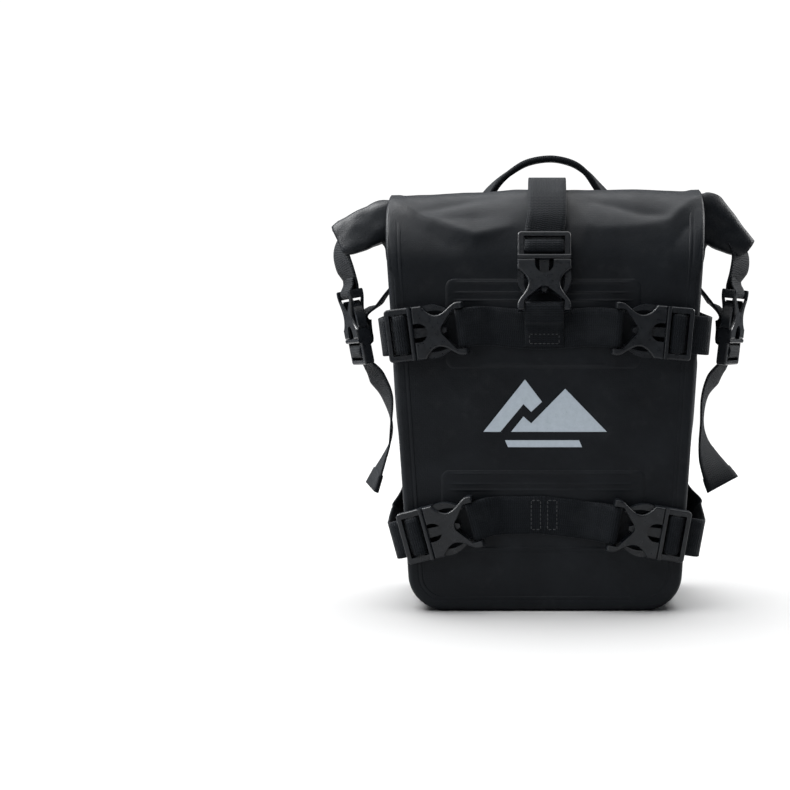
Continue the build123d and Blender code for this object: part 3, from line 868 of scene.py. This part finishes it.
# webbing threaded through the tongue's frame, as (along, outwards)
THREADING = [(-4.7, -3.2), (-4.7, 0.6), (-5.2, 2.7), (-6.6, 3.6), (-8.6, 3.8), (-10.6, 3.6), (-12.3, 2.7),
             (-12.9, 0.6), (-13.3, -1.6), (-15.0, -2.7), (-19.0, -2.95)]
# and round the socket's bar
ROUND_BAR = [(30.2, -2.75), (28.3, -1.9), (27.7, 0.0), (28.3, 1.9), (30.2, 2.75)]


def on_buckle(name, route, flip=1):
    """Stations for strap from a route of (along, outwards) on a buckle."""
    buckle = PLACES[name]
    return [(buckle.at(u, w), tuple(buckle.across * flip)) for u, w in route]


def socket_loop(name, flip=1):
    """From a fold sewn behind the strap, round the socket's bar, and back along the strap."""
    behind = [(41.0, -4.75), (37.0, -4.45), (33.6, -3.6)]
    before = [(32.6, 2.2), (35.4, 0.6), (38.4, -1.2), (41.0, -2.3)]
    return on_buckle(name, behind + ROUND_BAR + before, flip)


def front_webbing(node, left, right, z, patch):
    """One webbing across the front, from socket to socket, sewn down between them."""
    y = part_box(patch)[0].y / MM - 1.45
    first, last = socket_loop(left), socket_loop(right, -1)
    middle = []
    for end, way in ((first[-1], 1), (last[-1], -1)):
        (x, _, end_z), across = end
        eased = []
        # runs past the socket's loop, and how much the webbing has turned level there
        for run, share in ((9, 0.12), (20, 0.5), (34, 0.9)):
            lean = Vector(across).lerp(Vector((0, 0, math.copysign(1, across[2]))), share)
            eased.append(((x + way * run, y, end_z + share * (z - end_z)), tuple(lean)))
        middle += eased if way > 0 else eased[::-1]
    piece = strap(node + "_strap", first + middle + last[::-1])
    front_y = y - WEB_THICK / 2 - 0.05
    rows = []
    for edge, way in ((middle[2], 1), (middle[3], -1)):
        rows += tack((edge[0][0] + way * 6, front_y, z), (0, 0, 1), (1, 0, 0), (0, -1, 0))
    piece = stitched(node + "_strap", piece, rows)
    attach(piece, BAG)
    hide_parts(node)


UPPER_Z, LOWER_Z = 184.0, 64.0
front_webbing("upper_front_webbing", "upper_left", "upper_right", UPPER_Z, "upper_front_patch")
front_webbing("lower_front_webbing", "lower_left", "lower_right", LOWER_Z, "lower_front_patch")


def top_socket_strap():
    """The upright webbing from the top socket down to the upper front webbing."""
    back_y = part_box("upper_front_patch")[0].y / MM - 3.4
    across = tuple(PLACES["top"].across)
    middle = PLACES["top"].at(0, 0)[0]
    route = on_buckle("top", ROUND_BAR + [(32.6, 2.0), (36.5, -2.6), (38.5, -3.6)])
    for z, by in ((187.0, -1.2), (180.0, -0.3), (173.5, 0.0)):
        route.append(((middle, back_y + by, z), across))
    rows = tack((middle, back_y - WEB_THICK / 2 - 0.1, 178.5), (1, 0, 0), (0, 0, 1), (0, -1, 0))
    piece = stitched("top_socket_strap", strap("top_socket_strap", route), rows)
    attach(piece, BAG)
    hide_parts("top_socket_webbing")


top_socket_strap()

# ---- belts ----
# how far behind each tongue's mouth its belt turns round the bag's edge
BELT_CORNER = {"upper_left": 23.5, "upper_right": 31.0, "lower_left": 26.0, "lower_right": 29.0}
BACK_Z = {"upper": 186.0, "lower": 94.0}
BELT_LIFT = 1.05  # from the fabric to the middle of the belt's thickness
KEEPER_X = 55.0


def belt_side(level, side):
    """One belt from its tongue, round the side, to the keeper on the back."""
    name = f"{level}_{side}"
    sign = 1 if side == "right" else -1
    corner, back_z = BELT_CORNER[name], BACK_Z[level]
    route = THREADING + [(-corner + 3.5, -3.6), (-corner + 1, -6.0), (-corner, -11.0), (-corner, -22.0),
                         (-corner + 1.8, -35.0)]
    stations = on_buckle(name, route, -sign)
    start_z = stations[-1][0][2]
    for n, share in ((-2, 0.06), (-1, 0.22)):
        (x, y, z), across = stations[n]
        stations[n] = ((x, y, z + share * (back_z - start_z)), across)
    wall = (sign * SLOPE, 0, 1)
    width = half_width(back_z)
    for y, share, gap in ((-7.0, 0.44, 0.7), (14.0, 0.68, 0.5)):
        z = start_z + share * (back_z - start_z)
        stations.append(((sign * (half_width(z) + BELT_LIFT + gap), y, z), wall))
    stations.append(((sign * (width + BELT_LIFT + 0.1), 33.0, back_z - 0.06 * (back_z - start_z)), wall))
    turn = EDGE + BELT_LIFT + 0.3
    for a in (0, 25, 50, 75, 90):
        a = math.radians(a)
        x, y = width - EDGE + turn * math.cos(a), HALF_DEPTH - EDGE + turn * math.sin(a)
        stations.append(((sign * x, y, back_z), wall))
    stations.append(((sign * (KEEPER_X - 8), HALF_DEPTH + BELT_LIFT, back_z), (0, 0, 1)))
    piece = strap(f"{name}_belt_side", stations)
    split = PLACES[name].at(-corner, -27.0)
    end = PLACES[name].at(-corner, -8.0)
    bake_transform(piece)
    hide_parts(f"{name}_belt_end")


def belt_back(level):
    """The belt across the back, between the keepers."""
    stations = []
    for x in (-52, -26, 0, 26, 52):
        y = HALF_DEPTH + BELT_LIFT + 0.15 * math.cos(x / 14)
        stations.append(((x, y, BACK_Z[level]), (0, 0, 1)))
    piece = strap(f"{level}_belt_back", stations)
    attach(piece, BAG)
    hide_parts(f"{level}_belt")


for level in ("upper", "lower"):
    belt_back(level)
    for side in ("left", "right"):
        belt_side(level, side)


def keepers():
    """Two upright webbings sewn to the back; the belts pass behind them."""
    low_y, high_y = HALF_DEPTH + 0.8, HALF_DEPTH + 3.0
    profile = [(low_y, 62.0), (low_y, 70.0)]
    for z in (BACK_Z["lower"], BACK_Z["upper"]):
        half = WEB / 2 + 1.0
        profile += [(low_y, z - half - 5), (high_y, z - half), (high_y + 0.2, z), (high_y, z + half),
                    (low_y, z + half + 5)]
    things, rows = [], []
    skin_y = low_y + WEB_THICK / 2
    for x in (-KEEPER_X, KEEPER_X):
        things.append(strap("keeper", [((x, y, z), (1, 0, 0)) for y, z in profile]))
        for z in (66, BACK_Z["lower"] + 22, BACK_Z["upper"] - 22, BACK_Z["upper"] + WEB / 2 + 5.5):
            depth = 2.5 if z > BACK_Z["upper"] else 5.0
            rows += tack((x, skin_y, z), (1, 0, 0), (0, 0, 1), (0, 1, 0), depth=depth)
    piece = stitched("keeper_straps", join("keeper_straps", things), rows)
    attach(piece, BAG)
    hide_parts("back_keepers")


keepers()


# ---- strap over the roll ----
ROLL_STRAP_SHIFT = 1.8  # to the right of the buckle, from the roll on


def on_back(angle, lift=WEB_THICK / 2 + 0.5):
    """(y, z) over the back's rounded top, at an angle up from its shoulder."""
    radius = HALF_DEPTH - BACK_Y + lift
    a = math.radians(angle)
    return BACK_Y + radius * math.cos(a), BACK_SHOULDER + radius * math.sin(a)


def top_strap():
    """From the top tongue over the roll, and down to the back panel."""
    middle = PLACES["top"].at(0, 0)[0]
    route = on_buckle("top", THREADING)
    across = route[0][1]
    over = [(-43.0, 258.0), (-33.5, 269.5), (-19.0, 279.0), (-8.0, 282.6), (3.0, 282.7), (11.0, 281.0),
            (17.6, 274.6), (21.0, 263.0), (26.3, 249.5)]
    over += [on_back(angle) for angle in (50, 35, 20, 5)] + [(on_back(0)[0], 202.5)]
    for y, z in over:
        shift = ROLL_STRAP_SHIFT * (smooth(240, 262, z) if y < 20 else 1)
        route.append(((middle + shift, y, z), across))
    end_y = on_back(0)[0] + WEB_THICK / 2
    rows = tack((middle + ROLL_STRAP_SHIFT, end_y, 206.5), (1, 0, 0), (0, 0, 1), (0, 1, 0), depth=5.0)
    piece = stitched("roll_strap", strap("roll_strap", route), rows)
    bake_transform(piece)
    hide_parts("top_strap", "top_strap_end")


top_strap()

# ---- side straps ----
SIDE_Y = 6.0
SIDE = {
    # (distance from the middle along X, Y, Z, turn of the width from Y towards X, in degrees)
    "left": {
        "roll": [(134.6, 6.8, 243.5, 28), (137.2, 6.4, 237.0, 29), (137.2, 6.0, 230.0, 32),
                 (134.2, 5.0, 221.0, 34)],
        "tail": [(114.0, 6, 149, 36), (107.6, 6, 137, 24), (104.8, 6, 119, 5), (105.8, 6, 105, 4),
                 (109.4, 6, 95, 9), (113.8, 6, 85, 17), (118.4, 6, 74.0, 24)],
    },
    "right": {
        "roll": [(126.4, 6.8, 242.5, 28), (130.2, 6.4, 236.5, 30), (132.0, 6.0, 229.5, 33),
                 (130.4, 5.0, 220.5, 34)],
        "tail": [(114.0, 6, 148, 30), (108.4, 6, 136, 15), (106.8, 6, 119, 9), (107.8, 5.5, 106, 18),
                 (111.4, 4.5, 95, 38), (116.4, 3, 85, 58), (121.0, 1.5, 76.5, 78)],
    },
}


def hanging(side, part):
    """Stations for strap from a list in SIDE."""
    sign = 1 if side == "right" else -1
    stations = []
    for x, y, z, turn in SIDE[side][part]:
        a = math.radians(turn)
        stations.append(((sign * x, y, z), (-math.sin(a), -sign * math.cos(a), 0)))
    return stations


def roll_end_strap(side):
    """From the roll's end down to the side buckle's socket."""
    loop = [(34.5, -2.9)] + ROUND_BAR + [(33.0, 1.9), (36.5, -0.4), (41.0, -1.0)]
    piece = strap(f"{side}_roll_strap", hanging(side, "roll") + on_buckle(f"side_{side}", loop))
    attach(piece, BAG)
    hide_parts(f"{side}_roll_webbing")


def anchor_strap(side):
    """From the bag's side to the side buckle's tongue, and through its frame."""
    name = f"side_{side}"
    sign = 1 if side == "right" else -1
    y_axis = (0, -sign, 0)
    wall = half_width(212) + WEB_THICK / 2 + 0.2
    anchor = [((sign * (wall + SLOPE * 16), SIDE_Y, 226.0), y_axis), ((sign * wall, SIDE_Y, 214.0), y_axis),
              ((sign * 108.0, SIDE_Y, 205.0), y_axis), ((sign * 113.2, SIDE_Y, 198.0), y_axis)]
    anchor += on_buckle(name, [(14.0, -8.4), (5.0, -6.7), (-1.5, -6.4), (-4.2, -5.0)] + THREADING[1:-1])
    wall_x = sign * (wall + SLOPE * 9 + WEB_THICK / 2)
    rows = tack((wall_x, SIDE_Y, 220.5), (0, 1, 0), (0, 0, 1), (sign, 0, 0), depth=7.0)
    piece = stitched(f"{side}_anchor_strap", strap(f"{side}_anchor_strap", anchor), rows)
    top = PLACES[name].at(-3.0, -6.5)
    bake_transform(piece)
    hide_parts(f"{side}_side_anchor", f"{side}_adjuster_webbing")


def tail_strap(side):
    """From the side tongue's frame down to the tail's folded hem."""
    name = f"side_{side}"
    tail = on_buckle(name, [(-13.6, -1.9), (-15.8, -2.75), (-19.5, -3.4)]) + hanging(side, "tail")
    hem = strap(f"{side}_hem", tail[-2:], thick=3.0)
    piece = join(f"{side}_tail_strap", [strap(f"{side}_tail_run", tail), hem])
    pivot, after = PLACES[name].at(-15.8, -2.75), PLACES[name].at(-27.0, -4.0)
    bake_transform(piece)
    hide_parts(f"{side}_tail")


for side in ("left", "right"):
    roll_end_strap(side)
    anchor_strap(side)
    tail_strap(side)


# ---- carry loop ----
LOOP_X = 46.0  # its feet, to each side of the middle
# the loop's middle line: (x, y from the hinge, z, turn of the webbing's width in degrees)
ARCH = [(LOOP_X, 0.0, 236.5, 0), (LOOP_X, 0.0, 243.0, 5), (LOOP_X, 0.0, 250.0, 15),
        (44.5, -0.5, 262.0, 40), (41.0, -1.5, 272.5, 60), (34.5, -2.5, 281.5, 75),
        (27.5, -3.2, 289.5, 85), (18.0, -3.8, 295.5, 90), (3.8, -4.0, 298.3, 90),
        (-12.0, -3.8, 295.8, 90), (-24.0, -3.2, 289.0, 95), (-33.0, -2.5, 281.5, 105),
        (-40.0, -1.5, 272.5, 120), (-44.5, -0.5, 262.0, 140), (-LOOP_X, 0.0, 250.0, 165),
        (-LOOP_X, 0.0, 243.0, 175), (-LOOP_X, 0.0, 236.5, 180)]


def carry_loop():
    """A narrow webbing folded along its length, so that it is thick."""
    hinge_y = JOINTS["handle_fold"]["pos_m"][1] / MM
    stations = []
    for x, y, z, turn in ARCH:
        a = math.radians(turn)
        stations.append(((x, hinge_y + y, z), (math.cos(a), math.sin(a), 0)))
    piece = strap("carry_loop_strap", stations, width=13.0, thick=4.2)
    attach(piece, "carry_loop")
    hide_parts("handle")


def carry_loop_feet():
    """The loop's two feet, sewn to the back's rounded top."""
    route = [(on_back(0)[0], BACK_SHOULDER - 5)] + [on_back(angle) for angle in (0, 15, 30, 45, 57)]
    things, rows = [], []
    for x in (-LOOP_X, LOOP_X):
        things.append(strap("foot", [((x, y, z), (1, 0, 0)) for y, z in route], width=20.0))
        for angle in (4, 32):
            c, s = math.cos(math.radians(angle)), math.sin(math.radians(angle))
            spot = (x, *on_back(angle, WEB_THICK + 0.5))
            rows += tack(spot, (1, 0, 0), (0, -s, c), (0, c, s), width=15.0, depth=5.0)
    piece = stitched("carry_loop_feet", join("carry_loop_feet", things), rows)
    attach(piece, BAG)
    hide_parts("handle_feet")


carry_loop()
carry_loop_feet()


# ---- studio ----
def make_floor():
    """A pale disc of floor, and a white wall all round that only the camera sees."""
    bpy.ops.mesh.primitive_cylinder_add(vertices=96, radius=0.95, depth=0.004, location=(0, 0, -0.0022))
    floor = bpy.context.object
    floor.name = "floor"
    floor.data.materials.append(floor_material())
    bpy.ops.mesh.primitive_uv_sphere_add(segments=32, ring_count=16, radius=6)
    wall = bpy.context.object
    wall.name = "backdrop"
    white = Nodes("backdrop")
    white.set("Base Color", (0, 0, 0, 1))
    white.set("Emission Color", (1, 1, 1, 1))
    white.set("Emission Strength", 1.05)
    wall.data.materials.append(white.material)
    wall.visible_diffuse = wall.visible_glossy = wall.visible_shadow = False
    wall.visible_transmission = False
    return floor


def area_light(name, place, aim, size, power):
    """A rectangular lamp at a place, turned to the point that it aims at."""
    data = bpy.data.lights.new(name, "AREA")
    data.shape = "RECTANGLE"
    data.size, data.size_y = size
    data.energy = power
    lamp = show(bpy.data.objects.new(name, data))
    lamp.location = place
    lamp.rotation_euler = (Vector(aim) - Vector(place)).to_track_quat("-Z", "Y").to_euler()
    return lamp


def keep_off(lamps, thing):
    """Keeps the light of some lamps off one thing."""
    unlit = bpy.data.collections.new("not_lit_from_the_sides")
    unlit.objects.link(thing)
    unlit.collection_objects[0].light_linking.link_state = "EXCLUDE"
    for lamp in lamps:
        lamp.light_linking.receiver_collection = unlit


def make_light(floor):
    """A broad soft sun and a dim world, and four lamps that light the bag but not the floor."""
    world = bpy.data.worlds.new("studio")
    bpy.context.scene.world = world
    world.use_nodes = True
    background = world.node_tree.nodes["Background"]
    background.inputs["Color"].default_value = (0.9, 0.95, 1.0, 1)
    background.inputs["Strength"].default_value = 0.07
    middle = (0, 0, 0.2)
    data = bpy.data.lights.new("top_light", "SUN")
    data.energy = 4.4
    data.angle = math.radians(75)
    sun = show(bpy.data.objects.new("top_light", data))
    sun.rotation_euler = (math.radians(-10), math.radians(-6), 0)
    left = area_light("left_light", (-1.1, 0.15, 1.1), middle, (0.8, 1.0), 66)
    right = area_light("right_light", (1.25, 0.4, 0.8), middle, (0.6, 0.9), 32)
    front = area_light("front_light", (-1.3, -1.5, 0.5), middle, (0.8, 1.0), 8)
    high = area_light("high_light", (-0.5, -1.3, 1.4), middle, (0.8, 0.6), 9)
    keep_off((left, right, front, high), floor)
    bpy.context.scene.view_settings.view_transform = "Standard"


make_light(make_floor())
